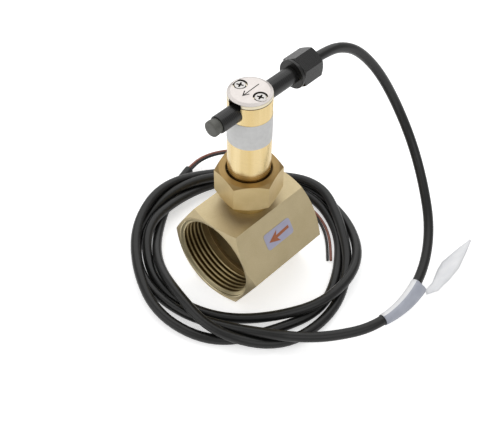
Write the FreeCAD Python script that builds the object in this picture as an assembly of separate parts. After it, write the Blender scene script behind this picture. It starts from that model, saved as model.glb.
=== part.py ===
"""Paddle flow switch for pipes with G 1 1/4 thread.

A hexagonal brass bar is bored through as the flow tee. A paddle hangs in the bore from a
pin in the brass sensor housing, which stands on a neck and is held by a union nut. The
paddle's upper arm carries a magnet. A reed switch in a black cross tube, clamped under the
housing's cap by two screws, closes as the magnet passes. Its cable comes out of a gland and
lies coiled round the tee.

Millimetres. X runs along the flow, out of the outlet. Z is up. The origin is on the bottom
flat of the tee, under the axis of the sensor housing.
"""
import FreeCAD, Part
import math
import os

V = FreeCAD.Vector
X_AXIS = V(1, 0, 0)
Y_AXIS = V(0, 1, 0)
Z_AXIS = V(0, 0, 1)

# ---- driving dimensions ---------------------------------------------------------------
bar_flats = 45.0            # hexagonal bar, across flats
bar_length = 48.0
turned_angle = 30.0         # turned chamfer on hexagon corners, degrees
port_radius = 20.955        # G 1 1/4, major radius
port_depth = 17.0           # threaded counterbore, each end
port_countersink = 0.4
relief_length = 3.0         # undercut at the thread's inner end
relief_depth = 0.3
waterway_radius = 17.5      # plain bore between the two threads

neck_radius = 10.3          # G 1/2 nipple, outside
neck_bore_radius = 8.65
neck_seat_depth = 1.2       # of the neck's seat in the tee's top flat
throat_radius = 6.5         # hole under the neck, between the two threads
nut_flats = 27.0
nut_turn = 17.6             # of a corner, from +X towards +Y, degrees
nut_stand = 5.7             # of the nut above the tee's top flat
nut_height = 13.9
nut_web = 1.55              # the nut's top wall, which holds the housing's collar down
nut_mouth = 0.75            # of the countersink round the housing, on the nut's top
gasket_thickness = 1.0

housing_radius = 9.75
housing_collar_radius = 10.2
housing_collar_height = 1.6
spigot_recess = 0.2         # of the housing's lower end, above the neck's
housing_bore_radius = 7.0
housing_bore_web = 3.7      # over the blind bore, under the reed tube
housing_height = 40.7       # of the housing above the nut
jaw_thickness = 1.8         # clamp jaws on top of the housing
cap_thickness = 0.8
cap_bevel_width = 1.35
cap_bevel_height = 0.6
cap_edge_step = 0.1         # of the cap's rim inside the housing's
pad_length = 15.6           # along the reed tube
slit_width = 6.4            # over the reed tube, through housing and jaws

reed_axis_drop = 4.1        # of the reed tube's axis below the housing's top
reed_radius = 4.0
reed_front = 19.3           # shoulder before the end plug
reed_back = -25.8           # front face of the gland's collar
reed_wall = 0.9
plug_neck_radius = 3.3
plug_radius = 3.6
plug_reach = 4.0            # of the end plug out of the tube
plug_neck_length = 1.8
plug_seat_length = 4.0      # inside the tube
plug_edge = 0.4
collar_radius = 6.8
collar_thickness = 1.5
gland_flats = 13.2
gland_hex_length = 11.2
gland_cone_length = 1.2
gland_taper = 2.2           # of the cone, off the corners' radius
seal_radius = 4.8
seal_length = 6.7
glass_radius = 1.1
glass_length = 14.0
lead_radius = 0.3
lead_bend = 2.0             # of the front lead, down and back below the glass
lead_end_gap = 3.0          # of both leads' ends before the gland

screw_spacing = 11.5
screw_radius = 1.5
screw_depth = 7.0           # thread in the housing
screw_head_radius = 2.75
screw_head_sink = 0.3       # the head lies this far under the cap's face

pivot_rise = 4.0            # of the pivot above the housing's lower end
pin_radius = 1.0
hub_radius = 2.6
hub_half_length = 5.2
washer_radius = 2.3
washer_thickness = 0.5
paddle_travel = 11.0        # degrees, from no flow to full flow
arm_radius = 1.3
cup_radius = 2.4
cup_gap = 0.9               # at its end, under the top of the housing's bore
cup_length = 7.0
magnet_radius = 1.8
magnet_length = 5.0
tongue_width = 8.0
tongue_thickness = 2.0
tongue_length = 17.0        # down from the pivot
blade_width = 14.0
blade_thickness = 0.8
blade_drop = 10.0           # of the blade's top below the pivot
blade_tip_gap = 3.5         # above the waterway's lowest line
rivet_radius = 0.9
rivet_head_radius = 1.5
rivet_head_height = 0.5
rivet_drops = (12.2, 14.8)  # below the pivot
return_magnet_radius = 1.7
return_magnet_length = 2.4
return_magnet_offset = 4.4

type_label_drop = 8.8       # below the housing's top
type_label_height = 13.1
flow_label_length = 17.0
flow_label_height = 8.0
flow_label_shift = 1.2      # up the sloping flat, from its middle
flow_label_corner = 1.5
label_thickness = 0.15

cable_radius = 2.4
core_radius = 0.7
core_offset = 0.8           # of each core from the line between the two
core_start_gap = 0.15       # of the cores' ends from the end of the jacket
tag_radius = 3.2            # printed film, wrapped round the cable
tag_start_x = -42.0
tag_end_x = -13.5
film_thickness = 0.3

running_gap = 0.05          # between parts that slide or turn on one another
press_gap = 0.02            # between parts that are screwed or pushed together
reed_hole_gap = 0.08        # round the reed tube in the housing

# the cable's route, from the gland to the coil, and its free end beyond the coil
CABLE_POINTS = [
    (-47.0, 0.0, 101.2), (-58.5, 0.3, 98.7), (-70.0, 2.5, 91.5), (-80.5, 8.0, 76.5),
    (-87.5, 16.0, 57.0), (-87.5, 28.5, 39.0), (-80.0, 43.0, 25.5), (-67.0, 58.0, 16.0),
    (-48.0, 69.5, 10.7), (-27.0, 74.5, 8.2), (-6.0, 72.5, 7.7), (12.5, 61.5, 7.7),
    (25.2, 45.0, 7.5),
]
TAIL_POINTS = [(4.8, -54.1, 3.9), (-5.0, -59.0, 3.0), (-15.0, -62.9, 2.9), (-23.4, -64.7, 3.3)]
CORE_POINTS = [
    (-29.8, -65.9, 3.7), (-36.2, -63.4, 5.6), (-40.6, -57.6, 9.0), (-43.8, -50.0, 12.6),
    (-46.0, -41.5, 14.6), (-46.6, -32.5, 14.6), (-45.6, -24.0, 13.0), (-44.4, -16.0, 9.4),
    (-44.8, -8.0, 5.6), (-45.9, 0.0, 3.4), (-44.8, 8.2, 2.0), (-41.0, 15.7, 1.2),
    (-35.0, 22.5, 0.9), (-28.0, 28.5, 0.8),
]
FLAG_OUTLINE = [(-36, 72.8), (-59, 69.5), (-83, 72.0), (-58, 80.0), (-42, 77.5)]
flag_height = 8.6           # of the flag's middle where it leaves the tag
flag_slope = 0.1            # down to its tip
coil_outer_radius = 58.5
coil_outer_centre = (-2.5, -2.0)
coil_width = 16.0           # of the outer radius over the inner one
coil_inner_centre = (-7.0, -7.0)
coil_height = 11.5
coil_rounding = 4.0
coil_rounding_share = 0.45  # the most that the rounding takes of the ring's wall

# ---- sizes that follow ------------------------------------------------------------------
flow_axis_z = bar_flats / 2
nut_bottom = bar_flats + nut_stand
nut_top = nut_bottom + nut_height
collar_top = nut_top - nut_web - running_gap
gasket_top = collar_top - housing_collar_height
neck_top = gasket_top - gasket_thickness
neck_bottom = bar_flats - neck_seat_depth
spigot_radius = neck_bore_radius - running_gap
spigot_bottom = neck_bottom + spigot_recess
housing_top = nut_top + housing_height
reed_axis_z = housing_top - reed_axis_drop
housing_bore_top = reed_axis_z - reed_radius - housing_bore_web
cap_bottom = housing_top + jaw_thickness
cap_top = cap_bottom + cap_thickness
type_label_top = housing_top - type_label_drop
type_label_bottom = type_label_top - type_label_height
pivot_z = spigot_bottom + pivot_rise
cup_start = housing_bore_top - cup_gap - cup_length - pivot_z
tongue_bottom = pivot_z - tongue_length
blade_top = pivot_z - blade_drop
blade_tip = flow_axis_z - waterway_radius + blade_tip_gap
screw_y = screw_spacing / 2
head_top = cap_top - screw_head_sink
head_bottom = head_top - (screw_head_radius - screw_radius)
gland_start = reed_back - collar_thickness
gland_hex_end = gland_start - gland_hex_length
gland_end = gland_hex_end - gland_cone_length
tan_turned = math.tan(math.radians(turned_angle))
coil_inner_radius = coil_outer_radius - coil_width
coil_wall = coil_width - math.dist(coil_outer_centre, coil_inner_centre)


# ---- tools of the drawing board -----------------------------------------------------------
def cylinder(radius, start, end):
    """A round bar between two points."""
    start, end = V(*start), V(*end)
    along = end - start
    return Part.makeCylinder(radius, along.Length, start, along)


def cone(radius_a, radius_b, start, end):
    """A round taper between two points."""
    start, end = V(*start), V(*end)
    along = end - start
    return Part.makeCone(radius_a, radius_b, along.Length, start, along)


def block(low, high):
    """A box between two corners."""
    return Part.makeBox(high[0] - low[0], high[1] - low[1], high[2] - low[2], V(*low))


def turned(profile, base, axis):
    """A solid of revolution from a closed profile of points."""
    face = Part.Face(Part.makePolygon([V(*p) for p in profile + profile[:1]]))
    return face.revolve(V(*base), axis, 360)


def hexagon(across_flats, start, end, first_corner):
    """A hexagonal bar between two points. first_corner points from its axis to a corner."""
    start, end = V(*start), V(*end)
    side_way = (end - start).normalize().cross(first_corner)
    corner = across_flats / math.sqrt(3)
    points = []
    for step in range(7):
        turn = math.radians(60 * step)
        points.append(start + first_corner * (corner * math.cos(turn))
                      + side_way * (corner * math.sin(turn)))
    return Part.Face(Part.makePolygon(points)).extrude(end - start)


def chamfer_cone(across_flats, face, away):
    """The turning tool's envelope at one end of a hexagonal bar: face is the end's centre,
    and away points out of the bar there."""
    depth = 2 * across_flats
    base = V(*face) - away * depth
    flat = across_flats / 2
    return Part.makeCone(flat + depth / tan_turned, flat, depth, base, away)


def route(points):
    """Straight runs joined by tangent arcs, as one wire. Each arc is as large as its two runs
    allow."""
    points = [V(*p) for p in points]
    edges = []
    radii = []
    start = points[0]
    for before, here, after in zip(points, points[1:], points[2:]):
        way_in = (here - before).normalize()
        way_out = (after - here).normalize()
        cut = 0.45 * min((here - before).Length, (after - here).Length)
        half_turn = way_in.getAngle(way_out) / 2
        radius = cut / math.tan(half_turn)
        inward = (way_out - way_in).normalize()
        arc_start = here - way_in * cut
        arc_middle = here + inward * (radius / math.cos(half_turn) - radius)
        arc_end = here + way_out * cut
        edges.append(Part.LineSegment(start, arc_start).toShape())
        edges.append(Part.Arc(arc_start, arc_middle, arc_end).toShape())
        radii.append(radius)
        start = arc_end
    edges.append(Part.LineSegment(start, points[-1]).toShape())
    return Part.Wire(edges), radii


def tube(name, points, radius):
    """A round cord along a route. Prints its bends and checks its volume by its length."""
    wire, radii = route(points)
    way = V(*points[1]) - V(*points[0])
    ring = Part.Wire([Part.Circle(V(*points[0]), way, radius).toShape()])
    solid = wire.makePipeShell([ring], True, False)
    expected = math.pi * radius ** 2 * wire.Length
    print(name, "length %.1f" % wire.Length, "volume share %.4f" % (solid.Volume / expected))
    print("  bend radii", ["%.1f" % r for r in radii])
    return solid


def tilted(shape):
    """Leans a piece of the paddle's upper arm from upright to its place at no flow."""
    return shape.rotated(V(0, 0, pivot_z), Y_AXIS, paddle_travel / 2)


# ---- the tee and its neck -----------------------------------------------------------------
def tee_body():
    half = bar_length / 2
    body = hexagon(bar_flats, (-half, 0, flow_axis_z), (half, 0, flow_axis_z), Y_AXIS)
    for side in (-1, 1):
        face = (side * half, 0, flow_axis_z)
        inner = (side * (half - port_depth), 0, flow_axis_z)
        lip = (side * (half - port_countersink), 0, flow_axis_z)
        body = body.common(chamfer_cone(bar_flats, face, X_AXIS * side))
        relief = (side * (half - port_depth + relief_length), 0, flow_axis_z)
        body = body.cut(cylinder(port_radius, inner, face))
        body = body.cut(cylinder(port_radius + relief_depth, inner, relief))
        body = body.cut(cone(port_radius, port_radius + port_countersink, lip, face))
    body = body.cut(cylinder(waterway_radius, (-half, 0, flow_axis_z), (half, 0, flow_axis_z)))
    body = body.cut(cylinder(throat_radius, (0, 0, flow_axis_z), (0, 0, bar_flats)))
    return body.cut(cylinder(neck_radius + press_gap, (0, 0, neck_bottom), (0, 0, bar_flats)))


def neck_nipple():
    outer = cylinder(neck_radius, (0, 0, neck_bottom), (0, 0, neck_top))
    return outer.cut(cylinder(neck_bore_radius, (0, 0, neck_bottom), (0, 0, neck_top)))


def collar_gasket():
    outer = cylinder(housing_collar_radius, (0, 0, neck_top), (0, 0, gasket_top))
    return outer.cut(cylinder(neck_bore_radius, (0, 0, neck_top), (0, 0, gasket_top)))


def union_nut():
    bottom, top = (0, 0, nut_bottom), (0, 0, nut_top)
    turn = math.radians(nut_turn)
    corner_way = V(math.cos(turn), math.sin(turn), 0)
    nut = hexagon(nut_flats, bottom, top, corner_way)
    nut = nut.common(chamfer_cone(nut_flats, top, Z_AXIS))
    nut = nut.common(chamfer_cone(nut_flats, bottom, -Z_AXIS))
    nut = nut.cut(cylinder(neck_radius + running_gap, bottom, (0, 0, nut_top - nut_web)))
    hole_radius = housing_radius + 2 * running_gap
    nut = nut.cut(cylinder(hole_radius, bottom, top))
    lip = (0, 0, nut_top - nut_mouth)
    return nut.cut(cone(hole_radius, hole_radius + nut_mouth, lip, top))


# ---- the sensor housing ---------------------------------------------------------------------
def reed_slit(bottom, top):
    """The slit along the reed tube, between two heights."""
    reach = 2 * housing_radius
    return block((-reach, -slit_width / 2, bottom), (reach, slit_width / 2, top))


def sensor_housing():
    housing = turned(
        [
            (0, 0, spigot_bottom), (spigot_radius, 0, spigot_bottom),
            (spigot_radius, 0, gasket_top), (housing_collar_radius, 0, gasket_top),
            (housing_collar_radius, 0, collar_top), (housing_radius, 0, collar_top),
            (housing_radius, 0, housing_top), (0, 0, housing_top),
        ],
        (0, 0, 0), Z_AXIS)
    bore_end = (0, 0, housing_bore_top)
    housing = housing.cut(cylinder(housing_bore_radius, (0, 0, spigot_bottom), bore_end))
    reach = 2 * housing_radius
    cross_radius = reed_radius + reed_hole_gap
    cross = cylinder(cross_radius, (-reach, 0, reed_axis_z), (reach, 0, reed_axis_z))
    housing = housing.cut(cross)
    housing = housing.cut(reed_slit(reed_axis_z, housing_top))
    pin_hole = cylinder(pin_radius, (0, -reach, pivot_z), (0, reach, pivot_z))
    housing = housing.cut(pin_hole)
    pocket_top = (-return_magnet_offset, 0, housing_bore_top + return_magnet_length)
    pocket = cylinder(return_magnet_radius, (-return_magnet_offset, 0, housing_bore_top), pocket_top)
    housing = housing.cut(pocket)
    for side in (-1, 1):
        y = side * screw_y
        hole = cylinder(screw_radius, (0, y, housing_top - screw_depth), (0, y, housing_top))
        housing = housing.cut(hole)
    return housing


def return_magnet():
    x = -return_magnet_offset
    top = housing_bore_top + return_magnet_length
    return cylinder(return_magnet_radius, (x, 0, housing_bore_top), (x, 0, top))


def pivot_pin():
    reach = spigot_radius - running_gap
    return cylinder(pin_radius, (0, -reach, pivot_z), (0, reach, pivot_z))


def pivot_washers():
    washers = []
    for side in (-1, 1):
        near = side * (hub_half_length + running_gap)
        far = near + side * washer_thickness
        washer = cylinder(washer_radius, (0, near, pivot_z), (0, far, pivot_z))
        washers.append(washer.cut(cylinder(pin_radius, (0, near, pivot_z), (0, far, pivot_z))))
    return Part.makeCompound(washers)


# ---- cap and clamp ----------------------------------------------------------------------------
def screw_cone(y):
    """The countersink that a screw's head lies in, up to the cap's face."""
    rim = screw_head_radius + screw_head_sink
    return cone(screw_radius, rim, (0, y, head_bottom), (0, y, cap_top))


def clamp_jaws():
    plate = cylinder(housing_radius, (0, 0, housing_top), (0, 0, cap_bottom))
    plate = plate.cut(reed_slit(housing_top, cap_bottom))
    for side in (-1, 1):
        y = side * screw_y
        plate = plate.cut(cylinder(screw_radius + press_gap, (0, y, housing_top), (0, y, cap_bottom)))
        plate = plate.cut(screw_cone(y))
    return plate


def clamp_pad():
    low = reed_axis_z + reed_radius + running_gap
    half_length = pad_length / 2
    half_width = slit_width / 2 - running_gap
    return block((-half_length, -half_width, low), (half_length, half_width, cap_bottom))


def cap_disc():
    rim = cap_top - cap_bevel_height
    edge = housing_radius - cap_edge_step
    disc = turned(
        [
            (0, 0, cap_bottom), (edge, 0, cap_bottom), (edge, 0, rim),
            (edge - cap_bevel_width, 0, cap_top), (0, 0, cap_top),
        ],
        (0, 0, 0), Z_AXIS)
    for side in (-1, 1):
        disc = disc.cut(screw_cone(side * screw_y))
    return disc


def cap_screws():
    screws = []
    for side in (-1, 1):
        y = side * screw_y
        head = cone(screw_radius, screw_head_radius, (0, y, head_bottom), (0, y, head_top))
        shank = cylinder(screw_radius, (0, y, housing_top - screw_depth), (0, y, head_bottom))
        screws.append(head.fuse(shank).removeSplitter())
    return Part.makeCompound(screws)


# ---- labels --------------------------------------------------------------------------------------
def type_label():
    inner = housing_radius
    bottom, top = (0, 0, type_label_bottom), (0, 0, type_label_top)
    return cylinder(inner + label_thickness, bottom, top).cut(cylinder(inner, bottom, top))


def flow_label():
    """Drawn on the ground, then stood on the sloping flat at the side of the tee."""
    half = flow_label_length / 2
    low = -flow_label_shift - flow_label_height / 2
    high = -flow_label_shift + flow_label_height / 2
    plate = block((-half, low, bar_flats / 2), (half, high, bar_flats / 2 + label_thickness))
    upright = [edge for edge in plate.Edges if abs(edge.tangentAt(edge.FirstParameter).z) > 0.9]
    plate = plate.makeFillet(flow_label_corner, upright)
    plate.rotate(V(0, 0, 0), X_AXIS, -60)
    plate.translate(V(0, 0, flow_axis_z))
    return plate


# ---- the paddle ------------------------------------------------------------------------------------
def paddle_lever():
    """Hub, upper arm and lower tongue, milled as one."""
    hub = cylinder(hub_radius, (0, -hub_half_length, pivot_z), (0, hub_half_length, pivot_z))
    arm = tilted(cylinder(arm_radius, (0, 0, pivot_z), (0, 0, pivot_z + cup_start)))
    half = tongue_width / 2
    tongue = block((-tongue_thickness / 2, -half, tongue_bottom), (tongue_thickness / 2, half, pivot_z))
    lever = hub.fuse([arm, tongue]).removeSplitter()
    reach = 2 * hub_half_length
    bore = cylinder(pin_radius + running_gap, (0, -reach, pivot_z), (0, reach, pivot_z))
    lever = lever.cut(bore)
    return lever.cut(rivets())


def magnet_cup():
    """Cup on the upper arm's end, open at the top for the magnet."""
    low = pivot_z + cup_start
    high = low + cup_length
    cup = cylinder(cup_radius, (0, 0, low), (0, 0, high))
    cup = cup.cut(cylinder(magnet_radius, (0, 0, high - magnet_length), (0, 0, high)))
    return tilted(cup)


def lever_magnet():
    high = pivot_z + cup_start + cup_length
    return tilted(cylinder(magnet_radius, (0, 0, high - magnet_length), (0, 0, high)))


def rivets():
    """Two rivets through tongue and blade, along the flow."""
    back = -tongue_thickness / 2 - blade_thickness
    front = tongue_thickness / 2
    solids = []
    for drop in rivet_drops:
        z = pivot_z - drop
        shank = cylinder(rivet_radius, (back - rivet_head_height, 0, z), (front + rivet_head_height, 0, z))
        head_a = cylinder(rivet_head_radius, (back - rivet_head_height, 0, z), (back, 0, z))
        head_b = cylinder(rivet_head_radius, (front, 0, z), (front + rivet_head_height, 0, z))
        solids.append(shank.fuse([head_a, head_b]).removeSplitter())
    return Part.makeCompound(solids)


def paddle_blade():
    """Thin strip on the upstream side of the tongue, round at its tip."""
    half = blade_width / 2
    back = -tongue_thickness / 2 - blade_thickness
    centre_z = blade_tip + half
    front = back + blade_thickness
    strip = block((back, -half, centre_z), (front, half, blade_top))
    tip = cylinder(half, (back, 0, centre_z), (front, 0, centre_z))
    return strip.fuse(tip).removeSplitter().cut(rivets())


# ---- the reed unit ---------------------------------------------------------------------------------
def reed_tube():
    outer = cylinder(reed_radius, (reed_back, 0, reed_axis_z), (reed_front, 0, reed_axis_z))
    inner = cylinder(reed_radius - reed_wall, (reed_back, 0, reed_axis_z), (reed_front, 0, reed_axis_z))
    return outer.cut(inner)


def end_plug():
    """Plug in the front of the reed tube, with a groove behind its round end."""
    bore = reed_radius - reed_wall
    end = reed_front + plug_reach
    groove = reed_front + plug_neck_length
    inner = reed_front - plug_seat_length
    z = reed_axis_z
    return turned(
        [
            (inner, 0, z), (inner, bore, z), (reed_front, bore, z),
            (reed_front, plug_neck_radius, z), (groove, plug_neck_radius, z),
            (groove, plug_radius, z), (end - plug_edge, plug_radius, z),
            (end, plug_radius - plug_edge, z),
            (end, 0, z),
        ],
        (0, 0, z), X_AXIS)


def reed_glass():
    half = glass_length / 2
    return cylinder(glass_radius, (-half, 0, reed_axis_z), (half, 0, reed_axis_z))


def reed_leads():
    """One lead out of each end of the glass, both bent back to the cable's side."""
    half = glass_length / 2
    back = reed_back + lead_end_gap
    z = reed_axis_z
    straight = cylinder(lead_radius, (back, 0, z), (-half, 0, z))
    turn_x = half + lead_bend
    low_z = z - lead_bend
    side = [(half, 0, z), (turn_x, 0, z), (turn_x, 0, low_z), (back, 0, low_z)]
    runs = [cylinder(lead_radius, a, b) for a, b in zip(side, side[1:])]
    knees = [Part.makeSphere(lead_radius, V(*p)) for p in side[1:3]]
    return Part.makeCompound([straight, runs[0].fuse(runs[1:] + knees).removeSplitter()])


def potting():
    """Resin that fills the reed tube round the glass and its leads."""
    bore = reed_radius - reed_wall
    front = reed_front - plug_seat_length
    fill = cylinder(bore, (reed_back, 0, reed_axis_z), (front, 0, reed_axis_z))
    return fill.cut(reed_glass()).cut(reed_leads())


def gland_collar():
    start, end = (reed_back, 0, reed_axis_z), (gland_start, 0, reed_axis_z)
    return cylinder(collar_radius, end, start).cut(cylinder(cable_radius, end, start))


def gland_nut():
    start, end = (gland_start, 0, reed_axis_z), (gland_end, 0, reed_axis_z)
    nut = hexagon(gland_flats, start, end, Z_AXIS)
    nut = nut.common(chamfer_cone(gland_flats, start, X_AXIS))
    corner = gland_flats / math.sqrt(3)
    hex_end = (gland_hex_end, 0, reed_axis_z)
    full = cylinder(gland_flats, start, hex_end)
    taper = cone(corner, corner - gland_taper, hex_end, end)
    nut = nut.common(full.fuse(taper))
    nut = nut.cut(cylinder(cable_radius, start, end))
    seal_end = (gland_start - seal_length, 0, reed_axis_z)
    return nut.cut(cylinder(seal_radius, start, seal_end))


def gland_seal():
    """Rubber bush that the nut squeezes round the cable."""
    start = (gland_start, 0, reed_axis_z)
    end = (gland_start - seal_length, 0, reed_axis_z)
    bush = cylinder(seal_radius - press_gap, start, end)
    return bush.cut(cylinder(cable_radius, start, end))


# ---- the cable -------------------------------------------------------------------------------------
def cable_coil():
    """The outer shape of the loose turns that lie round the tee."""
    outer = Part.makeCylinder(coil_outer_radius, coil_height, V(*coil_outer_centre, 0))
    inner = Part.makeCylinder(coil_inner_radius, coil_height, V(*coil_inner_centre, 0))
    ring = outer.cut(inner)
    rims = [edge for edge in ring.Edges if isinstance(edge.Curve, Part.Circle)]
    return ring.makeFillet(min(coil_rounding, coil_rounding_share * coil_wall), rims)


def cable(coil):
    start = (reed_back, 0, reed_axis_z)
    held = cylinder(cable_radius, (gland_end, 0, reed_axis_z), start)
    free = tube("cable", [(gland_end, 0, reed_axis_z)] + CABLE_POINTS, cable_radius)
    return free.cut(coil).fuse(held).removeSplitter()


def cable_tail(coil):
    return tube("cable_tail", TAIL_POINTS, cable_radius).cut(coil)


def core(name, side):
    """One of the two insulated cores beyond the end of the jacket. They lie side by side, each
    at the same distance from the line of the core points."""
    line = [V(*p) for p in TAIL_POINTS[-1:] + CORE_POINTS]
    line[0] = line[0] + (line[1] - line[0]).normalize() * core_start_gap
    points = []
    for before, here, after in zip(line[:1] + line, line, line[1:] + line[-1:]):
        across = (after - before).cross(Z_AXIS).normalize()
        points.append(tuple(here + across * (side * core_offset)))
    return tube(name, points, core_radius)


def cable_tag():
    """Film wrapped round the cable where it comes down to the coil."""
    stretch = CABLE_POINTS[7:12]
    wrap = tube("cable_tag", stretch, tag_radius)
    wrap = wrap.cut(tube("cable_tag, inside", stretch, cable_radius + press_gap))
    reach = 10 * tag_radius
    ys = [p[1] for p in stretch]
    low = (tag_start_x, min(ys) - reach, -reach)
    return wrap.common(block(low, (tag_end_x, max(ys) + reach, 2 * reach)))


def cable_flag():
    """The film's free end, which stands off the cable like a leaf."""
    points = [V(x, y, flag_height + (x - tag_start_x) * flag_slope) for x, y in FLAG_OUTLINE]
    leaf = Part.Face(Part.makePolygon(points + points[:1]))
    leaf = leaf.extrude(V(0, 0, film_thickness))
    return leaf.cut(tube("cable_flag, root", CABLE_POINTS[7:12], tag_radius))


nodes = {
    "tee_body": tee_body(),
    "neck_nipple": neck_nipple(),
    "collar_gasket": collar_gasket(),
    "union_nut": union_nut(),
    "sensor_housing": sensor_housing(),
    "return_magnet": return_magnet(),
    "pivot_pin": pivot_pin(),
    "pivot_washers": pivot_washers(),
    "clamp_jaws": clamp_jaws(),
    "clamp_pad": clamp_pad(),
    "cap_disc": cap_disc(),
    "cap_screws": cap_screws(),
    "type_label": type_label(),
    "flow_label": flow_label(),
    "paddle_lever": paddle_lever(),
    "paddle_blade": paddle_blade(),
    "blade_rivets": rivets(),
    "magnet_cup": magnet_cup(),
    "lever_magnet": lever_magnet(),
    "reed_tube": reed_tube(),
    "end_plug": end_plug(),
    "reed_glass": reed_glass(),
    "reed_leads": reed_leads(),
    "potting": potting(),
    "gland_collar": gland_collar(),
    "gland_nut": gland_nut(),
    "gland_seal": gland_seal(),
    "cable_coil": cable_coil(),
}
nodes["cable"] = cable(nodes["cable_coil"])
nodes["cable_tail"] = cable_tail(nodes["cable_coil"])
nodes["core_brown"] = core("core_brown", -1)
nodes["core_black"] = core("core_black", 1)
nodes["cable_tag"] = cable_tag()
nodes["cable_flag"] = cable_flag()

os.makedirs("parts", exist_ok=True)
for name, shape in nodes.items():
    assert shape.isValid(), name
    shape.exportStep("parts/" + name + ".step")
    print(name, len(shape.Solids), "solids, volume %.1f" % shape.Volume)
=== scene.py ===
"""Paddle flow switch: a brass flow tee with its sensor housing, reed switch and coiled cable.

Metres, in the frame of the solids: X along the flow, Z up, origin under the housing's axis.
"""
import bpy
import bmesh
import math
from mathutils import Matrix, Vector


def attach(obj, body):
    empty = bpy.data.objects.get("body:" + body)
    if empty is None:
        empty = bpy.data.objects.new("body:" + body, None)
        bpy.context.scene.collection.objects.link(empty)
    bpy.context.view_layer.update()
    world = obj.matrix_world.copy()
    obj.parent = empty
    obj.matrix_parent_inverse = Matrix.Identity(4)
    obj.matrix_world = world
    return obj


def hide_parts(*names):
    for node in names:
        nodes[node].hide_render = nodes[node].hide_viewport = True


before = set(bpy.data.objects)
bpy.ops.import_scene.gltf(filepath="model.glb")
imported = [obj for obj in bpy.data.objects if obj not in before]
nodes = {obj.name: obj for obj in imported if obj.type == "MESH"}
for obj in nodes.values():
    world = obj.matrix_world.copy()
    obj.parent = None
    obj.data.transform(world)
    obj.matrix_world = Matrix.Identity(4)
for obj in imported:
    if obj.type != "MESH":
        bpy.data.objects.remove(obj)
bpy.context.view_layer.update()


# ---- camera and room ---------------------------------------------------------------------------
# The part stands on a plain white table under three large soft lamps and a white sky. It is
# seen from above its outlet side.
MM = 0.001


def colour(hex_code):
    """sRGB hex to the linear values that the shader wants."""
    def linear(pair):
        share = int(pair, 16) / 255
        if share <= 0.04045:
            return share / 12.92
        return ((share + 0.055) / 1.055) ** 2.4
    return [linear(hex_code[i:i + 2]) for i in (0, 2, 4)] + [1.0]


def add_node(tree, kind, settings=None, inputs=None):
    """One node: settings are its own values, and inputs are sockets' values or links to them."""
    node = tree.nodes.new(kind)
    for key, value in (settings or {}).items():
        setattr(node, key, value)
    for key, value in (inputs or {}).items():
        if isinstance(value, bpy.types.NodeSocket):
            tree.links.new(value, node.inputs[key])
        else:
            node.inputs[key].default_value = value
    return node


azimuth, elevation, roll = math.radians(133.227), math.radians(46.749), math.radians(0.443)
back = Vector((math.sin(azimuth) * math.cos(elevation),
               -math.cos(azimuth) * math.cos(elevation),
               math.sin(elevation)))
level = Vector((math.cos(azimuth), math.sin(azimuth), 0))
upward = back.cross(level)
camera_right = level * math.cos(roll) + upward * math.sin(roll)
camera_up = upward * math.cos(roll) - level * math.sin(roll)
camera_data = bpy.data.cameras.new("camera")
camera_data.sensor_width = 36
camera_data.lens = 73.48435
camera_data.clip_start = 0.01
camera = bpy.data.objects.new("camera", camera_data)
bpy.context.scene.collection.objects.link(camera)
camera_place = Vector((0.23177, 0.213521, 0.366418))
camera.matrix_world = Matrix((
    (camera_right.x, camera_up.x, back.x, camera_place.x),
    (camera_right.y, camera_up.y, back.y, camera_place.y),
    (camera_right.z, camera_up.z, back.z, camera_place.z),
    (0, 0, 0, 1)))
bpy.context.scene.camera = camera

floor_mesh = bmesh.new()
bmesh.ops.create_grid(floor_mesh, x_segments=1, y_segments=1, size=3)
floor_data = bpy.data.meshes.new("floor")
floor_mesh.to_mesh(floor_data)
floor_mesh.free()
floor = bpy.data.objects.new("floor", floor_data)
bpy.context.scene.collection.objects.link(floor)
# White board. It glows by itself towards the camera, and half as much in what is mirrored or
# seen through glass, so it shows as an even white with only the part's own soft shadow.
white_table = bpy.data.materials.new("white_table")
white_table.use_nodes = True
tree = white_table.node_tree
tree.nodes.clear()
rays = add_node(tree, "ShaderNodeLightPath")
mirrored = add_node(tree, "ShaderNodeMath", {"operation": "MAXIMUM"}, {
    0: rays.outputs["Is Glossy Ray"], 1: rays.outputs["Is Transmission Ray"]})
dimmed = add_node(tree, "ShaderNodeMath", {"operation": "MULTIPLY"}, {
    0: mirrored.outputs[0], 1: 0.5})
seen = add_node(tree, "ShaderNodeMath", {"operation": "MAXIMUM"}, {
    0: rays.outputs["Is Camera Ray"], 1: dimmed.outputs[0]})
paint = add_node(tree, "ShaderNodeBsdfDiffuse", None, {"Color": colour("f2f2f2")})
glow = add_node(tree, "ShaderNodeEmission", None, {"Color": colour("ffffff"), "Strength": 0.52})
nothing = add_node(tree, "ShaderNodeEmission", None, {"Strength": 0.0})
lift = add_node(tree, "ShaderNodeMixShader", None, {
    0: seen.outputs[0], 1: nothing.outputs[0], 2: glow.outputs[0]})
both = add_node(tree, "ShaderNodeAddShader", None, {0: paint.outputs[0], 1: lift.outputs[0]})
add_node(tree, "ShaderNodeOutputMaterial", None, {"Surface": both.outputs[0]})
floor.data.materials.append(white_table)

world = bpy.data.worlds.new("white_room")
bpy.context.scene.world = world
world.use_nodes = True
tree = world.node_tree
tree.nodes.clear()
rays = add_node(tree, "ShaderNodeLightPath")
sky = add_node(tree, "ShaderNodeBackground", None, {"Color": colour("ffffff"), "Strength": 0.50})
wall = add_node(tree, "ShaderNodeBackground", None, {"Color": colour("ffffff"), "Strength": 1.0})
room = add_node(tree, "ShaderNodeMixShader", None, {
    0: rays.outputs["Is Camera Ray"], 1: sky.outputs[0], 2: wall.outputs[0]})
add_node(tree, "ShaderNodeOutputWorld", None, {"Surface": room.outputs[0]})

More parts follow.
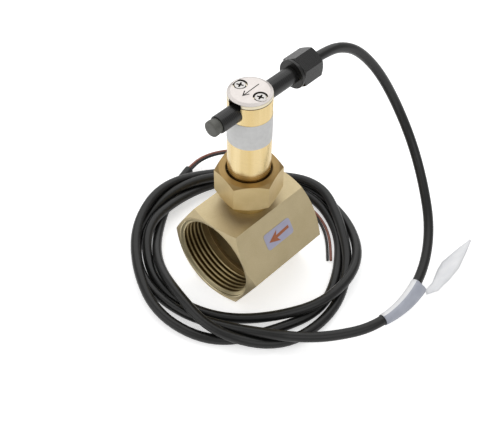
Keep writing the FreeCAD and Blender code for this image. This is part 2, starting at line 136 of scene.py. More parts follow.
for lamp_name, place, size, power in (
        ("key_lamp", (-0.62, -0.56, 1.10), 2.2, 11.0),
        ("window_lamp", (0.25, 0.80, 0.80), 1.0, 2.0),
        ("fill_lamp", (0.90, -0.35, 0.60), 1.0, 2.0)):
    lamp_data = bpy.data.lights.new(lamp_name, "AREA")
    lamp_data.shape = "DISK"
    lamp_data.size = size
    lamp_data.energy = power
    lamp = bpy.data.objects.new(lamp_name, lamp_data)
    lamp.location = place
    lamp.rotation_euler = (Vector((0, 0, 0.03)) - Vector(place)).to_track_quat("-Z", "Y").to_euler()
    bpy.context.scene.collection.objects.link(lamp)
bpy.context.scene.view_settings.view_transform = "Standard"


# ---- tee ---------------------------------------------------------------------------------------
# Hexagonal brass bar, 45 mm across its flats, sawn, faced and tumbled: matte, pale and a little
# greenish, with soft edges. Both ends are bored and countersunk for their threads.
def new_material(name):
    """A material with one Principled shader, and its tree and shader."""
    material = bpy.data.materials.new(name)
    material.use_nodes = True
    return material, material.node_tree, material.node_tree.nodes["Principled BSDF"]


def object_place(tree):
    """Where a spot lies in the part, in metres."""
    return add_node(tree, "ShaderNodeTexCoord").outputs["Object"]


def worked(name, dark, light, cloud, grain, shine, depth, metallic=1.0, place=object_place,
           cloud_place=object_place):
    """A worked surface: clouds of colour between dark and light, and a grain in its shine,
    between two roughnesses, and in its relief. Sizes and depth in millimetres."""
    material, tree, shader = new_material(name)
    spot = place(tree)
    clouds = add_node(tree, "ShaderNodeTexNoise", None, {
        "Vector": cloud_place(tree), "Scale": 1 / (cloud * MM), "Detail": 4.0})
    tint = add_node(tree, "ShaderNodeMix", {"data_type": "RGBA"}, {
        "Factor": clouds.outputs["Fac"], "A": colour(dark), "B": colour(light)})
    grains = add_node(tree, "ShaderNodeTexNoise", None, {
        "Vector": spot, "Scale": 1 / (grain * MM), "Detail": 3.0})
    gloss = add_node(tree, "ShaderNodeMapRange", None, {
        "Value": grains.outputs["Fac"], "From Min": 0.3, "From Max": 0.7,
        "To Min": shine[0], "To Max": shine[1]})
    relief = add_node(tree, "ShaderNodeBump", None, {
        "Strength": 0.5, "Distance": depth * MM, "Height": grains.outputs["Fac"]})
    tree.links.new(tint.outputs["Result"], shader.inputs["Base Color"])
    tree.links.new(gloss.outputs["Result"], shader.inputs["Roughness"])
    tree.links.new(relief.outputs["Normal"], shader.inputs["Normal"])
    shader.inputs["Metallic"].default_value = metallic
    return material


def piece(name, mesh, body, material=None, smooth=35):
    """Turns a finished bmesh into a piece that rides on a body."""
    data = bpy.data.meshes.new(name)
    mesh.to_mesh(data)
    mesh.free()
    data.shade_smooth()
    data.set_sharp_from_angle(angle=math.radians(smooth))
    made = bpy.data.objects.new(name, data)
    bpy.context.scene.collection.objects.link(made)
    if material:
        data.materials.append(material)
    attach(made, body)
    return made


def break_edges(made, width):
    """Small rounds along a piece's edges, as deburring leaves them. Width in millimetres."""
    edge = made.modifiers.new("broken_edges", "BEVEL")
    edge.width = width * MM
    edge.segments = 2
    edge.limit_method = "ANGLE"
    edge.angle_limit = math.radians(25)
    edge.use_clamp_overlap = True
    edge.harden_normals = True


def stand_for(made, *node_names):
    """The piece takes the place of these solids."""
    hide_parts(*node_names)


def overlaid(material, value, start, gone, other):
    """Another colour over a material's own: all of it where a value is at start, fading until
    the value is at gone. Millimetres."""
    tree = material.node_tree
    shader = tree.nodes["Principled BSDF"]
    own_share = add_node(tree, "ShaderNodeMapRange", None, {
        "Value": value, "From Min": start * MM, "From Max": gone * MM})
    both = add_node(tree, "ShaderNodeMix", {"data_type": "RGBA"}, {
        "Factor": own_share.outputs["Result"], "A": colour(other),
        "B": shader.inputs["Base Color"].links[0].from_socket})
    tree.links.new(both.outputs["Result"], shader.inputs["Base Color"])


def arm_from(tree, centre):
    """From a centre, in millimetres, to the spot that is shaded."""
    return add_node(tree, "ShaderNodeVectorMath", {"operation": "SUBTRACT"}, {
        0: object_place(tree), 1: [c * MM for c in centre]}).outputs["Vector"]


def off_axis(tree, arm, axis):
    """How far an arm reaches from an axis."""
    across = add_node(tree, "ShaderNodeVectorMath", {"operation": "MULTIPLY"}, {
        0: arm, 1: [1 - a for a in axis]})
    return add_node(tree, "ShaderNodeVectorMath", {"operation": "LENGTH"}, {
        0: across.outputs["Vector"]}).outputs["Value"]


def painted_shade_round_axis(material, centre, axis, near, far, shade_colour):
    """Painted shade: a darker colour over a material up to a distance from an axis, or beyond it if
    near is the larger. Millimetres."""
    tree = material.node_tree
    overlaid(material, off_axis(tree, arm_from(tree, centre), axis), near, far, shade_colour)


def softened(name, node_name, width, material, body, smooth=35):
    """A copy of a solid's mesh with its edges broken."""
    mesh = bmesh.new()
    mesh.from_mesh(nodes[node_name].data)
    bmesh.ops.remove_doubles(mesh, verts=mesh.verts, dist=1e-7)
    bmesh.ops.dissolve_limit(mesh, angle_limit=math.radians(0.3), use_dissolve_boundaries=False,
                             verts=mesh.verts, edges=mesh.edges)
    made = piece(name, mesh, body, material, smooth)
    break_edges(made, width)
    stand_for(made, node_name)
    return made


def dress(material, *node_names):
    """Gives solids whose shape is right their finish."""
    for node_name in node_names:
        nodes[node_name].data.materials.clear()
        nodes[node_name].data.materials.append(material)


flow_height = 22.5          # of the tee's axis over the table, in millimetres
tee_end = 24.0              # from its middle
countersink_depth = 1.2
countersink_radius = 22.05
# Tumbled brass: micro-peened, so its shine is broad and soft. Grain about 0.4 mm, drawn as
# coarse as it needs to show, and clouds of tarnish about 9 mm wide.
tumbled_brass = worked("tumbled_brass", "c0b08b", "d3c4a0", 9.0, 0.4, (0.44, 0.60), 0.03)
# Painted shade: the bores, up to the mouths' countersinks, are coloured a darker brown for the
# shade inside them.
painted_shade_round_axis(tumbled_brass, (0, 0, flow_height), (1, 0, 0), 20.95, 21.1, "937f58")
# The countersinks are cut last, so they stay bright and smooth.
fresh_cut_brass = worked("fresh_cut_brass", "e6d8ae", "f2e6c2", 5.0, 0.3, (0.28, 0.38), 0.01)
tee = softened("flow_tee", "tee_body", 0.35, tumbled_brass, "base")
tee.data.materials.append(fresh_cut_brass)
for face in tee.data.polygons:
    from_axis = math.hypot(face.center.y, face.center.z - flow_height * MM)
    at_end = abs(face.center.x) > (tee_end - countersink_depth) * MM
    if at_end and from_axis < countersink_radius * MM and abs(face.normal.x) < 0.95:
        face.material_index = 1


# ---- pipe threads ------------------------------------------------------------------------------
# The threads of both ends, G 1 1/4, cut on a lathe: 11 turns to the inch, so 2.309 mm apart,
# 1.479 mm deep, with rounded crests that the mouth's countersink cuts back.
cut_brass = worked("thread_cut_brass", "b5a377", "cdbb8e", 6.0, 0.5, (0.30, 0.42), 0.02)
# Painted shade in the thread's grooves, darker out towards the roots, with the crests in their
# own colour; the first 1.7 mm are painted paler, a painted highlight round the mouth.
painted_shade_round_axis(cut_brass, (0, 0, flow_height), (1, 0, 0), 20.1, 19.6, "5f4c2c")
tree = cut_brass.node_tree
along = add_node(tree, "ShaderNodeSeparateXYZ", None, {"Vector": object_place(tree)}).outputs["X"]
outward = add_node(tree, "ShaderNodeMath", {"operation": "ABSOLUTE"}, {0: along})
# Painted highlight: paler brass from 1.5 to 1.9 mm inside the tee's end outwards.
overlaid(cut_brass, outward.outputs[0], tee_end - 1.5, tee_end - 1.9, "e3d4aa")
thread_pitch = 2.309
crest_radius = 19.476
root_radius = 20.955
mouth_slope = 1.6           # of the countersink: how far it narrows for each millimetre inwards
bare_rim = 0.3              # from the tee's end to where the thread can begin
first_crest = 0.55          # from the tee's end
thread_turns = 6
steps_per_turn = 72
# Half a ridge: along the axis from its middle, and out from the axis.
half_ridge = [(0.14, crest_radius), (0.34, crest_radius + 0.16), (0.92, root_radius - 0.06),
              (1.12, root_radius + 0.1)]
ridge = [(-x, r) for x, r in reversed(half_ridge)] + half_ridge
start, farthest = tee_end - first_crest, tee_end - bare_rim
for side, port_name in ((1, "outlet_thread"), (-1, "inlet_thread")):
    mesh = bmesh.new()
    spots = [mesh.verts.new(((start - x) * side * MM, 0, (flow_height + r) * MM))
             for x, r in ridge]
    rim = [mesh.edges.new(pair) for pair in zip(spots, spots[1:])]
    bmesh.ops.spin(mesh, geom=spots + rim, cent=(0, 0, flow_height * MM), axis=(1, 0, 0),
                   dvec=(-side * thread_pitch * MM / steps_per_turn, 0, 0),
                   angle=math.tau * thread_turns * side, steps=steps_per_turn * thread_turns,
                   use_duplicate=False)
    for vert in mesh.verts:
        depth = tee_end - abs(vert.co.x) / MM
        across = Vector((0, vert.co.y, vert.co.z - flow_height * MM))
        cut_back = max(across.length, (root_radius + 0.1 - mouth_slope * max(depth, 0.0)) * MM)
        across = across.normalized() * cut_back
        vert.co = (max(-farthest, min(farthest, vert.co.x / MM)) * MM, across.y,
                   across.z + flow_height * MM)
    bmesh.ops.recalc_face_normals(mesh, faces=mesh.faces)
    thread = piece(port_name, mesh, "base", cut_brass, 60)


# ---- neck and gasket ---------------------------------------------------------------------------
# A short brass nipple is screwed into the tee's top flat. The ring of nitrile rubber on it
# seals the housing's collar.
def lathe_marks(centre, axis):
    """Where a spot lies on a turned piece: its distance from the axis, and how far along it is.
    A pattern in these two runs round the piece, as a lathe's marks do."""
    def place(tree):
        arm = arm_from(tree, centre)
        along = add_node(tree, "ShaderNodeVectorMath", {"operation": "DOT_PRODUCT"}, {
            0: arm, 1: axis})
        return add_node(tree, "ShaderNodeCombineXYZ", None, {
            "X": off_axis(tree, arm, axis), "Y": along.outputs["Value"]}).outputs["Vector"]
    return place


upright_lathe = lathe_marks((0, 0, 0), (0, 0, 1))
# Turned brass, as cut: fine rings about 0.3 mm apart that spread its shine round the axis.
turned_brass = worked("turned_brass", "b59d68", "cfb985", 7.0, 0.3, (0.30, 0.44), 0.02,
                      place=upright_lathe)
softened("neck", "neck_nipple", 0.15, turned_brass, "base")
# Nitrile rubber, moulded: dull black with a bloom, its grain about 0.3 mm.
nitrile = worked("black_nitrile", "191918", "2b2b29", 3.0, 0.3, (0.62, 0.80), 0.02, metallic=0.0)
softened("collar_seal", "collar_gasket", 0.1, nitrile, "base")


# ---- paddle ------------------------------------------------------------------------------------
# The lever turns on a stainless pin across the housing's lower end, between two washers. Its
# tongue carries a thin steel blade into the flow, and its upper arm a magnet in a cup.
# Stainless steel, drawn: pale grey with fine scratches about 0.2 mm apart.
drawn_stainless = worked("drawn_stainless", "a9a8a4", "c9c8c4", 4.0, 0.2, (0.24, 0.38), 0.01)
dress(drawn_stainless, "pivot_pin", "pivot_washers")
# Milled brass: brighter than the tee, with cutter marks about 0.5 mm apart.
milled_brass = worked("milled_brass", "c9ae70", "e0c88e", 5.0, 0.5, (0.26, 0.40), 0.02)
softened("lever", "paddle_lever", 0.15, milled_brass, "paddle")
softened("cup", "magnet_cup", 0.12, milled_brass, "paddle")
dress(milled_brass, "blade_rivets")
# Cold-rolled stainless strip: even and grey, with rolling lines about 0.25 mm apart.
rolled_stainless = worked("rolled_stainless", "a5a5a3", "c2c2c0", 6.0, 0.25, (0.28, 0.42), 0.01)
softened("blade", "paddle_blade", 0.12, rolled_stainless, "paddle")
# Sintered magnet, ground: dark grey, with a grain about 0.3 mm.
sintered_magnet = worked("sintered_magnet", "4a4845", "6b6864", 1.5, 0.3, (0.40, 0.60), 0.02)
dress(sintered_magnet, "lever_magnet", "return_magnet")


# ---- sensor housing ----------------------------------------------------------------------------
# Round brass bar, turned and polished, blind-bored from below for the paddle's arm, and
# cross-drilled and slit at its top for the reed tube.
# Polished brass: a warm pale gold with a tight shine, turning rings about 0.35 mm apart that
# only just show, and paler and darker streaks up the bar, about 4.5 mm wide.
def streaked(tree):
    """Stretches a pattern upwards, as polishing along the bar does."""
    return add_node(tree, "ShaderNodeVectorMath", {"operation": "MULTIPLY"}, {
        0: object_place(tree), 1: (1, 1, 0.04)}).outputs["Vector"]


polished_brass = worked("polished_brass", "cfae66", "f8e6ba", 4.5, 0.35, (0.18, 0.30), 0.006,
                        place=upright_lathe, cloud_place=streaked)
softened("housing", "sensor_housing", 0.18, polished_brass, "base")


# ---- union nut ---------------------------------------------------------------------------------
# Hexagonal brass nut, 27 mm across its flats, turned with a chamfer at both ends. It pulls the
# housing's collar down onto the neck. Its mouth round the housing is painted darker: painted shade.
# Drawn hexagonal bar: the flats keep a pale, even skin with drawing lines about 0.3 mm apart.
drawn_hex_brass = worked("drawn_hex_brass", "c3ad7c", "d8c293", 5.0, 0.3, (0.34, 0.50), 0.02)
# Turned ends and chamfers: browner, with rings about 0.35 mm apart, and painted shade in the mouth.
turned_nut_brass = worked("turned_nut_brass", "94794c", "ae9364", 4.0, 0.35, (0.34, 0.52), 0.02,
                          place=upright_lathe)
painted_shade_round_axis(turned_nut_brass, (0, 0, 0), (0, 0, 1), 10.1, 10.9, "33281a")
mouth_radius = 11.0
nut = softened("coupling_nut", "union_nut", 0.22, drawn_hex_brass, "base", 20)
nut.data.materials.append(turned_nut_brass)
for face in nut.data.polygons:
    if abs(face.normal.z) > 0.3 or face.center.xy.length < mouth_radius * MM:
        face.material_index = 1


# ---- labels ------------------------------------------------------------------------------------
# A band of silver-grey foil is stuck round the housing, and a small lavender sticker with the
# arrow of the flow on the tee's sloping flat. Neither carries any words.
# Metallised polyester foil: even grey with a dull sheen and a fine print dither of 0.5 mm.
silver_foil = worked("silver_foil", "cdcdcc", "e2e2e1", 2.0, 0.5, (0.42, 0.56), 0.01, metallic=0.1)
dress(silver_foil, "type_label")
# Printed vinyl: a lavender grey, slightly mottled, smooth and half matte.
lavender_vinyl = worked("lavender_vinyl", "a09fb6", "b6b5ca", 3.0, 0.8, (0.40, 0.55), 0.01,
                        metallic=0.0)
dress(lavender_vinyl, "flow_label")
# The arrow is printed in brown ink, a little uneven where the film is rough.
brown_ink = worked("brown_ink", "965434", "b0683f", 1.5, 0.6, (0.45, 0.60), 0.01, metallic=0.0)
tail, tip = Vector((-6.6, 1.4)), Vector((6.7, 0.6))     # along the flow, and up the flat
ahead = (tip - tail).normalized()
aside = Vector((-ahead.y, ahead.x))
tip_along = (tip - tail).length
shaft_end, head_back = tip_along - 5.2, tip_along - 6.4     # the head's back slopes to its corners
shaft_half, head_half = 0.75, 2.9
ink_height = 0.05
mesh = bmesh.new()
outline = []
for along, across in ((0, -shaft_half), (shaft_end, -shaft_half), (head_back, -head_half),
                      (tip_along, 0), (head_back, head_half), (shaft_end, shaft_half),
                      (0, shaft_half)):
    spot = tail + ahead * along + aside * across
    outline.append(mesh.verts.new((spot.x * MM, -spot.y * MM, 0)))
arrow_face = mesh.faces.new(outline)
raised = bmesh.ops.extrude_face_region(mesh, geom=[arrow_face])
bmesh.ops.translate(mesh, vec=(0, 0, ink_height * MM),
                    verts=[v for v in raised["geom"] if isinstance(v, bmesh.types.BMVert)])
label_face = 22.5 + 0.13    # from the tee's axis to its flat, and the sticker's thickness
flat_tilt = math.radians(-60)
bmesh.ops.transform(mesh, verts=mesh.verts, matrix=(
    Matrix.Translation((0, 0, flow_height * MM)) @ Matrix.Rotation(flat_tilt, 4, "X")
    @ Matrix.Translation((0, 0, label_face * MM))))
bmesh.ops.recalc_face_normals(mesh, faces=mesh.faces)
piece("flow_arrow", mesh, "base", brown_ink)


# ---- reed unit ---------------------------------------------------------------------------------
# A black moulded tube slides through the housing's top. It holds a glass reed switch and its
# leads in resin, and a plug closes its front end.
reed_height = 101.2
reed_lathe = lathe_marks((0, 0, reed_height), (1, 0, 0))
# Glass-filled polyamide, moulded and turned: charcoal with a grey sheen, lines 0.4 mm apart.
black_polyamide = worked("black_polyamide", "0f0f0f", "1b1b1a", 4.0, 0.4, (0.22, 0.34), 0.010,
                         metallic=0.0, place=reed_lathe)
softened("reed_sleeve", "reed_tube", 0.3, black_polyamide, "reed_unit")
# The plug is sawn and sanded at its end, so it is greyer and duller than the tube.
sanded_polyamide = worked("sanded_polyamide", "484844", "686862", 2.5, 0.3, (0.45, 0.62), 0.02,
                          metallic=0.0)
softened("front_plug", "end_plug", 0.15, sanded_polyamide, "reed_unit")
# Soda glass, drawn: clear and pale green, with soft ripples about 2 mm long.
drawn_glass = worked("drawn_glass", "c2d8cc", "d8e6de", 3.0, 2.0, (0.03, 0.08), 0.01, metallic=0.0)
drawn_glass.node_tree.nodes["Principled BSDF"].inputs["Transmission Weight"].default_value = 0.85
dress(drawn_glass, "reed_glass")
# Tinned wire: bright grey, with the tin's waviness about 0.3 mm long.
tinned_wire = worked("tinned_wire", "b5b1a8", "d2cfc6", 1.0, 0.3, (0.22, 0.36), 0.01)
dress(tinned_wire, "reed_leads")
# Epoxy, cast: glossy black with a few soft dimples about 1 mm wide.
cast_epoxy = worked("cast_epoxy", "161618", "242426", 2.0, 1.0, (0.20, 0.32), 0.03, metallic=0.0)
dress(cast_epoxy, "potting")


# ---- clamp, cap and screws ---------------------------------------------------------------------
# Two plated half-discs and a rubber pad press on the reed tube under a round plated cap, which
# has an arrow cut in it along the flow. Two countersunk cross-head screws hold them down.
dress(nitrile, "clamp_pad")
# Nickel over brass, worn thin: a pale warm silver, turned, with rings about 0.4 mm apart.
worn_nickel = worked("worn_nickel", "ded2b4", "eee5cd", 5.0, 0.4, (0.22, 0.36), 0.01,
                     place=upright_lathe)
# Dirt lies in the joint between the jaws and the housing, along the jaws' lower edge.
joint_low, joint_high = 105.62, 105.76
tree = worn_nickel.node_tree
height = add_node(tree, "ShaderNodeSeparateXYZ", None, {"Vector": object_place(tree)}).outputs["Z"]
overlaid(worn_nickel, height, joint_low, joint_high, "3b2f1a")
softened("jaws", "clamp_jaws", 0.25, worn_nickel, "base")


def brushed_along(way):
    """Stretches a pattern along an axis, as a brushing belt does, by how small the axis's share
    in way is."""
    def place(tree):
        return add_node(tree, "ShaderNodeVectorMath", {"operation": "MULTIPLY"}, {
            0: object_place(tree), 1: way}).outputs["Vector"]
    return place


# Nickel plate, brushed along the flow: silver-white, with strokes about 5 mm long and 0.3 mm
# apart that soften its shine.
brushed_nickel = worked("brushed_nickel", "c9c2be", "dbd5d1", 3.0, 0.3, (0.26, 0.42), 0.012,
                        place=brushed_along((0.06, 1, 1)))
cap_bottom, cap_rim, cap_top = 107.1, 107.3, 107.9
cap_radius, bevel_radius = 9.65, 8.3
screw_y = 5.75
hole_mouth, hole_foot = 3.15, 2.95      # radii of the screws' holes


def spin_round(mesh, profile, centre, steps):
    """Turns a profile of distances and heights about an upright axis, in millimetres."""
    spots = [mesh.verts.new(((centre[0] + r) * MM, centre[1] * MM, z * MM)) for r, z in profile]
    rim = [mesh.edges.new(pair) for pair in zip(spots, spots[1:])]
    bmesh.ops.spin(mesh, geom=spots + rim, cent=(centre[0] * MM, centre[1] * MM, 0), axis=(0, 0, 1),
                   angle=math.tau, steps=steps, use_merge=True, use_duplicate=False)


def sink_outline(mesh, outline, top, bottom):
    """Walls down from a closed outline, for a recess, and their lower corners. Millimetres."""
    spots = [mesh.verts.new((x * MM, y * MM, top * MM)) for x, y in outline]
    ring = [mesh.edges.new(pair) for pair in zip(spots, spots[1:] + spots[:1])]
    sunk = bmesh.ops.extrude_edge_only(mesh, edges=ring)
    low = [v for v in sunk["geom"] if isinstance(v, bmesh.types.BMVert)]
    bmesh.ops.translate(mesh, vec=(0, 0, (bottom - top) * MM), verts=low)
    return low


def close_level(mesh, height):
    """A flat face across the open edges at one height, round its holes."""
    open_edges = [e for e in mesh.edges if len(e.link_faces) < 2
                  and all(abs(v.co.z / MM - height) < 1e-4 for v in e.verts)]
    bmesh.ops.triangle_fill(mesh, use_beauty=True, use_dissolve=False, edges=open_edges)


# Painted shade: what is cut into the plate, and the screws' recesses and parts below their heads,
# are coloured nearly black, dull and rough.
painted_recess_shade = worked("painted_recess_shade", "120e0a", "2a231b", 0.8, 0.2, (0.60, 0.85), 0.03, metallic=0.0)
mesh = bmesh.new()
spin_round(mesh, [(cap_radius, cap_bottom), (cap_radius, cap_rim), (bevel_radius, cap_top)],
           (0, 0), 96)
for side in (-1, 1):
    spin_round(mesh, [(hole_mouth, cap_top), (hole_foot, cap_bottom)], (0, side * screw_y), 40)
arrow_cut = [(-5.5, -0.42), (3.75, -0.05), (1.66, -1.25), (1.92, -1.66), (4.95, 0.17),
             (2.08, 1.58), (1.86, 1.13), (3.55, 0.37), (-5.5, 0.02)]
arrow_floor = cap_top - 0.35
sink_outline(mesh, arrow_cut, cap_top, arrow_floor)
for height in (cap_top, cap_bottom, arrow_floor):
    close_level(mesh, height)
bmesh.ops.recalc_face_normals(mesh, faces=mesh.faces)
cap = piece("arrow_cap", mesh, "base", brushed_nickel, 20)
cap.data.materials.append(painted_recess_shade)
# The bevel is turned after plating: a shade yellower and darker, with the rings of its tool.
turned_bevel = worked("turned_bevel_nickel", "aca48f", "c2baa6", 3.0, 0.3, (0.28, 0.40), 0.01,
                      place=upright_lathe)
cap.data.materials.append(turned_bevel)
# Painted shade: the arrow's cut and the screw holes' walls get the nearly black material.
for face in cap.data.polygons:
    if 0.5 < face.normal.z < 0.97 and face.center.xy.length > (bevel_radius - 0.1) * MM:
        face.material_index = 2
    below_top = cap_bottom * MM < face.center.z < (cap_top - 0.05) * MM
    if below_top and face.center.xy.length < (bevel_radius + 0.55) * MM:
        face.material_index = 1
break_edges(cap, 0.05)
stand_for(cap, "cap_disc")

# Stainless screws, pressed cross recesses: pale silver heads, with painted shade, nearly black, in
# the recesses and on all below the head's face.
screw_steel = worked("screw_stainless", "bebbb8", "d4d1ce", 2.0, 0.25, (0.24, 0.36), 0.01)
mesh = bmesh.new()
screw_foot, head_face = 98.3, 107.66
recess_floor = head_face - 0.9
recess_taper = 0.55         # the cross's width at its floor over its width at the top
for side, turn in ((-1, 24), (1, 18)):      # each cross stands at its own angle
    centre = (0, side * screw_y)
    spin_round(mesh, [(1.5, screw_foot), (1.5, 106.35), (2.5, 107.25), (2.42, 107.56),
                      (2.3, head_face)], centre, 40)
    cross = []
    for quarter in range(4):
        for x, y in ((1.6, -0.33), (1.6, 0.33), (0.45, 0.45)):  # an arm and the next inner corner
            angle = math.radians(turn + 90 * quarter)
            cross.append((centre[0] + x * math.cos(angle) - y * math.sin(angle),
                          centre[1] + x * math.sin(angle) + y * math.cos(angle)))
    for vert in sink_outline(mesh, cross, head_face, recess_floor):
        vert.co.x = (centre[0] + (vert.co.x / MM - centre[0]) * recess_taper) * MM
        vert.co.y = (centre[1] + (vert.co.y / MM - centre[1]) * recess_taper) * MM
for height in (head_face, recess_floor, screw_foot):
    close_level(mesh, height)
bmesh.ops.recalc_face_normals(mesh, faces=mesh.faces)
screws = piece("cross_head_screws", mesh, "base", screw_steel, 30)
screws.data.materials.append(painted_recess_shade)
# Painted shade: every face below the head's face gets the nearly black material.
for face in screws.data.polygons:
    if face.center.z < (head_face - 0.08) * MM:
        face.material_index = 1
break_edges(screws, 0.04)
stand_for(screws, "cap_screws")


# ---- gland -------------------------------------------------------------------------------------
# A moulded collar ends the reed tube, and a hexagonal gland nut on it squeezes a rubber bush
# round the cable.
softened("reed_collar", "gland_collar", 0.25, black_polyamide, "reed_unit")
softened("cable_nut", "gland_nut", 0.3, black_polyamide, "reed_unit")
dress(nitrile, "gland_seal")


# ---- cable -------------------------------------------------------------------------------------
# Two-core signal cable, 4.8 mm over its smooth black jacket. It comes out of the gland, drops
# to the table and lies there in three and a half loose turns round the tee.
def cord_curve(name, points, radius, material, body):
    """A smooth cord through the room: a spline with these points, in millimetres."""
    curve = bpy.data.curves.new(name, "CURVE")
    curve.dimensions = "3D"
    curve.resolution_u = 8
    curve.bevel_depth = radius * MM
    curve.bevel_resolution = 6
    curve.use_fill_caps = True
    spline = curve.splines.new("NURBS")
    spline.points.add(len(points) - 1)
    for spot, place in zip(spline.points, points):
        spot.co = (place[0] * MM, place[1] * MM, place[2] * MM, 1)
    spline.order_u = 3
    spline.use_endpoint_u = True
    spline.use_smooth = True
    made = bpy.data.objects.new(name, curve)
    bpy.context.scene.collection.objects.link(made)
    curve.materials.append(material)
    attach(made, body)
    return made


# PVC, extruded: even and smooth, a satin black that greys where the light grazes it, with a
# faint waviness about 3 mm long and fine dust-like specks.
jacket_pvc, tree, shader = new_material("black_pvc_jacket")
specks = add_node(tree, "ShaderNodeTexNoise", None, {
    "Vector": object_place(tree), "Scale": 1 / (1.2 * MM), "Detail": 2.0})
tint = add_node(tree, "ShaderNodeMix", {"data_type": "RGBA"}, {
    "Factor": specks.outputs["Fac"], "A": colour("111110"), "B": colour("1e1e1d")})
gloss = add_node(tree, "ShaderNodeMapRange", None, {
    "Value": specks.outputs["Fac"], "To Min": 0.24, "To Max": 0.38})
waves = add_node(tree, "ShaderNodeTexNoise", None, {
    "Vector": object_place(tree), "Scale": 1 / (3.0 * MM), "Detail": 1.0})
relief = add_node(tree, "ShaderNodeBump", None, {
    "Strength": 0.25, "Distance": 0.10 * MM, "Height": waves.outputs["Fac"]})
tree.links.new(tint.outputs["Result"], shader.inputs["Base Color"])
tree.links.new(gloss.outputs["Result"], shader.inputs["Roughness"])
tree.links.new(relief.outputs["Normal"], shader.inputs["Normal"])
shader.inputs["IOR"].default_value = 1.52
shader.inputs["Specular IOR Level"].default_value = 0.40

# The drop from the gland to the coil.
DROP_POINTS = [
    (-39.7, 0, 101.2), (-47, 0, 101.2), (-58.5, 0.3, 98.7), (-70, 2.5, 91.5), (-80.5, 8, 76.5),
    (-87.5, 16, 57), (-87.5, 28.5, 39), (-80, 43, 25.5), (-67, 58, 16), (-48, 69.5, 10.7),
    (-27, 74.5, 8.2), (-6, 72.5, 7.8), (11.2, 61.8, 7.8), (21.1, 52.1, 7.9),
]
# The coil, at each twelfth of a turn clockwise from above: how far the cable lies from the coil's
# middle, and how high. It climbs where it crosses an earlier turn.
COIL_STEPS = [
    (58.9, 9.8), (50.2, 6.4), (49.3, 3), (53, 3.2), (54.6, 3.3), (51.9, 8.3), (47.7, 10.9),
    (45.8, 5.8), (52.7, 3.9), (50.1, 2.4), (47.9, 2.5), (52, 2.4), (50.8, 2.8), (57.7, 2.4),
    (57.6, 4.5), (53.6, 7.9), (54.6, 10), (57.1, 10), (54.9, 5.5), (56.3, 2.4), (57, 2.4),
    (56.9, 4.1), (57.6, 8.6), (53.1, 8.3), (45.2, 5.5), (42.9, 2.4), (44.7, 2.6), (47.7, 2.6),
    (49.6, 8.1), (46, 6.9), (48.8, 3.9), (52.2, 6.2), (58.4, 8.7), (50.8, 7.8), (52.9, 4.8),
    (57.6, 2.5), (61, 2.7), (56.7, 9), (44.9, 10.3), (42.8, 6.7), (44.4, 2.4), (52.8, 2.4),
]
COIL_MIDDLE = (-2, -5)
FIRST_BEARING = 60          # degrees, of the coil's first point
POINTS_PER_TURN = 12
FREE_END = [(-17.4, -63.5, 2.9), (-23.4, -64.7, 3.3)]
cable_points = list(DROP_POINTS)
for step, (reach, height) in enumerate(COIL_STEPS):
    bearing = math.radians(FIRST_BEARING) - math.tau * step / POINTS_PER_TURN
    cable_points.append((COIL_MIDDLE[0] + reach * math.cos(bearing),
                         COIL_MIDDLE[1] + reach * math.sin(bearing), height))
cable_points += FREE_END
jacket_radius = 2.4
signal_cable = cord_curve("signal_cable", cable_points, jacket_radius, jacket_pvc, "reed_unit")
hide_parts("cable", "cable_coil", "cable_tail")


# ---- bared cores -------------------------------------------------------------------------------
# Where the jacket ends, its two cores carry on side by side over the coil, one brown and one
# black: stranded wire in thin extruded PVC, 1.4 mm across.
def core_pvc(name, light, dark):
    """Thin extruded insulation in one colour, with a slight sheen."""
    material, tree, shader = new_material(name)
    cloud = add_node(tree, "ShaderNodeTexNoise", None, {
        "Vector": object_place(tree), "Scale": 1 / (2.0 * MM), "Detail": 2.0})
    tint = add_node(tree, "ShaderNodeMix", {"data_type": "RGBA"}, {
        "Factor": cloud.outputs["Fac"], "A": colour(dark), "B": colour(light)})
    tree.links.new(tint.outputs["Result"], shader.inputs["Base Color"])
    shader.inputs["Roughness"].default_value = 0.42
    return material


core_radius = 0.7
core_shift = 0.8            # of each core from the line between them
CORE_LINE = [
    (-23.4, -64.7, 3.3), (-29.8, -65.9, 3.7), (-36.2, -63.4, 5.6), (-40.6, -57.6, 9),
    (-43.8, -50, 12.6), (-46, -41.5, 14.6), (-46.6, -32.5, 14.6), (-45.6, -24, 13),
    (-44.4, -16, 9.4), (-44.8, -8, 5.6), (-45.9, 0, 3.4), (-44.8, 8.2, 2), (-41, 15.7, 1.2),
    (-35, 22.5, 0.9), (-28, 28.5, 0.8),
]
for core_name, node_name, side, core_length, insulation in (
        ("brown_core", "core_brown", -1, 0.120, core_pvc("brown_core_pvc", "a8705f", "7d4c40")),
        ("black_core", "core_black", 1, 0.116, core_pvc("black_core_pvc", "262424", "181717"))):
    beside = []
    ends = CORE_LINE[:1] + CORE_LINE + CORE_LINE[-1:]
    for before, here, after in zip(ends, CORE_LINE, ends[2:]):
        way = Vector(after) - Vector(before)
        across = way.cross(Vector((0, 0, 1))).normalized()
        beside.append(tuple(Vector(here) + across * core_shift * side))
    bare_core = cord_curve(core_name, beside, core_radius, insulation, "reed_unit")
    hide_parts(node_name)
    tuple(x * MM for x in beside[0])


# ---- cable tag ---------------------------------------------------------------------------------
# A strip of pale film is wrapped round the cable and stuck to itself. The wrap is wider at its
# upper end, where its free end stands off like a leaf. Its print is left off.
# Polyester film: lavender grey and half glossy, softly creased every 6 mm or so.
creased_film = worked("creased_film", "9b9fac", "c2c5cf", 6.0, 5.0, (0.34, 0.46), 0.35,
                      metallic=0.0)
# The free end is a single layer: nearly white, with the same creases.
thin_film = worked("thin_film", "dcdee3", "ffffff", 3.0, 4.0, (0.36, 0.50), 0.35, metallic=0.0,
                   cloud_place=brushed_along((0.25, 1, 1)))
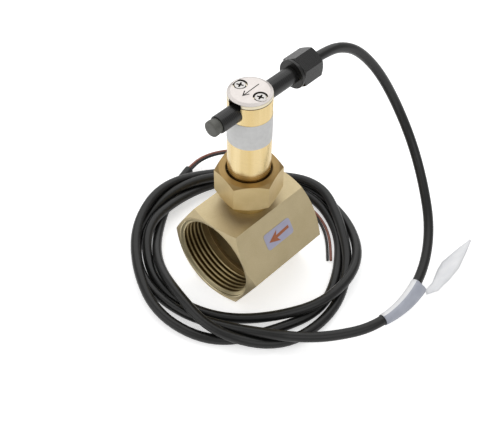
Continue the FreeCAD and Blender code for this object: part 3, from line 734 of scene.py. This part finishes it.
# The cable's own line, without its thickness, round the bend where the tag sits.
bend_from = 65              # the bend lies beyond this in Y
bare_line = signal_cable.copy()
bare_line.data = signal_cable.data.copy()
bare_line.data.bevel_depth = 0
line_mesh = bpy.data.meshes.new_from_object(bare_line)
bend = [v.co.copy() for v in line_mesh.vertices if v.co.y > bend_from * MM]
bend.sort(key=lambda spot: spot.x, reverse=True)
bpy.data.objects.remove(bare_line)
bpy.data.meshes.remove(line_mesh)
wrap_start, wrap_end = -12.4, -39.1
hoop_count = 13
wrapped = []
for step in range(hoop_count):
    x = (wrap_start + (wrap_end - wrap_start) * step / (hoop_count - 1)) * MM
    before, after = next(pair for pair in zip(bend, bend[1:]) if pair[0].x >= x >= pair[1].x)
    wrapped.append(before.lerp(after, (x - before.x) / (after.x - before.x)))
hang = Vector((-0.109, 0.868, -0.485))      # the way that the film's slack hangs off the cable
slack_at_end = 3.2
pinch_at_end = 0.35         # how much the slack side narrows
wrap_radius = 2.55
film_thickness = 0.25
lap_from = -0.4             # the lap lies on the side away from the slack
mesh = bmesh.new()
hoops = []
lapped = set()
for step, centre in enumerate(wrapped):
    share = step / (len(wrapped) - 1)
    way = (wrapped[min(step + 1, len(wrapped) - 1)] - wrapped[max(step - 1, 0)]).normalized()
    down = (hang - way * hang.dot(way)).normalized()
    across = way.cross(down)
    hoop = bmesh.ops.create_circle(mesh, cap_ends=False, segments=28, radius=1)["verts"]
    for vert in hoop:
        lean, turn = vert.co.x, vert.co.y
        if lean < lap_from:
            lapped.add(vert)
        reach = wrap_radius + slack_at_end * share * max(lean, 0) ** 3
        narrow = 1 - pinch_at_end * share * max(lean, 0)
        vert.co = centre + (down * lean + across * turn * narrow) * reach * MM
    hoops += list({edge for vert in hoop for edge in vert.link_edges})
bmesh.ops.bridge_loops(mesh, edges=hoops)
bmesh.ops.recalc_face_normals(mesh, faces=mesh.faces)
for face in mesh.faces:             # along its lap the wrap is as pale as its free end
    if lapped.issuperset(face.verts):
        face.material_index = 1
tag = piece("film_wrap", mesh, "reed_unit", creased_film, 60)
tag.data.materials.append(thin_film)
wall = tag.modifiers.new("film_thickness", "SOLIDIFY")
wall.thickness = film_thickness * MM
wall.offset = 1
stand_for(tag, "cable_tag")

# The free end: its two long edges, from the wrap's lip to the tip.
leaf_thickness = 0.2
inner_edge = [(-39.8, 76.5, 7.9), (-45.1, 76.4, 8.6), (-54.0, 73.1, 7.7),
              (-60.3, 71.5, 7.1), (-74.9, 71.5, 5.6), (-84.1, 71.9, 4.7)]
outer_edge = [(-38.9, 78.1, 6.8), (-43.1, 81.3, 8.5), (-54.0, 80.7, 7.4),
              (-63.3, 79.5, 6.5), (-74.6, 76.0, 5.3), (-83.5, 72.9, 4.4)]
mesh = bmesh.new()
sides = [[mesh.verts.new([c * MM for c in spot]) for spot in edge]
         for edge in (inner_edge, outer_edge)]
rails = [mesh.edges.new(pair) for side in sides for pair in zip(side, side[1:])]
bmesh.ops.bridge_loops(mesh, edges=rails)
bmesh.ops.subdivide_edges(mesh, edges=mesh.edges, cuts=3, use_grid_fill=True, smooth=0.6)
bmesh.ops.recalc_face_normals(mesh, faces=mesh.faces)
leaf = piece("film_leaf", mesh, "reed_unit", thin_film, 60)
wall = leaf.modifiers.new("film_thickness", "SOLIDIFY")
wall.thickness = leaf_thickness * MM
wall.offset = 0
stand_for(leaf, "cable_flag")
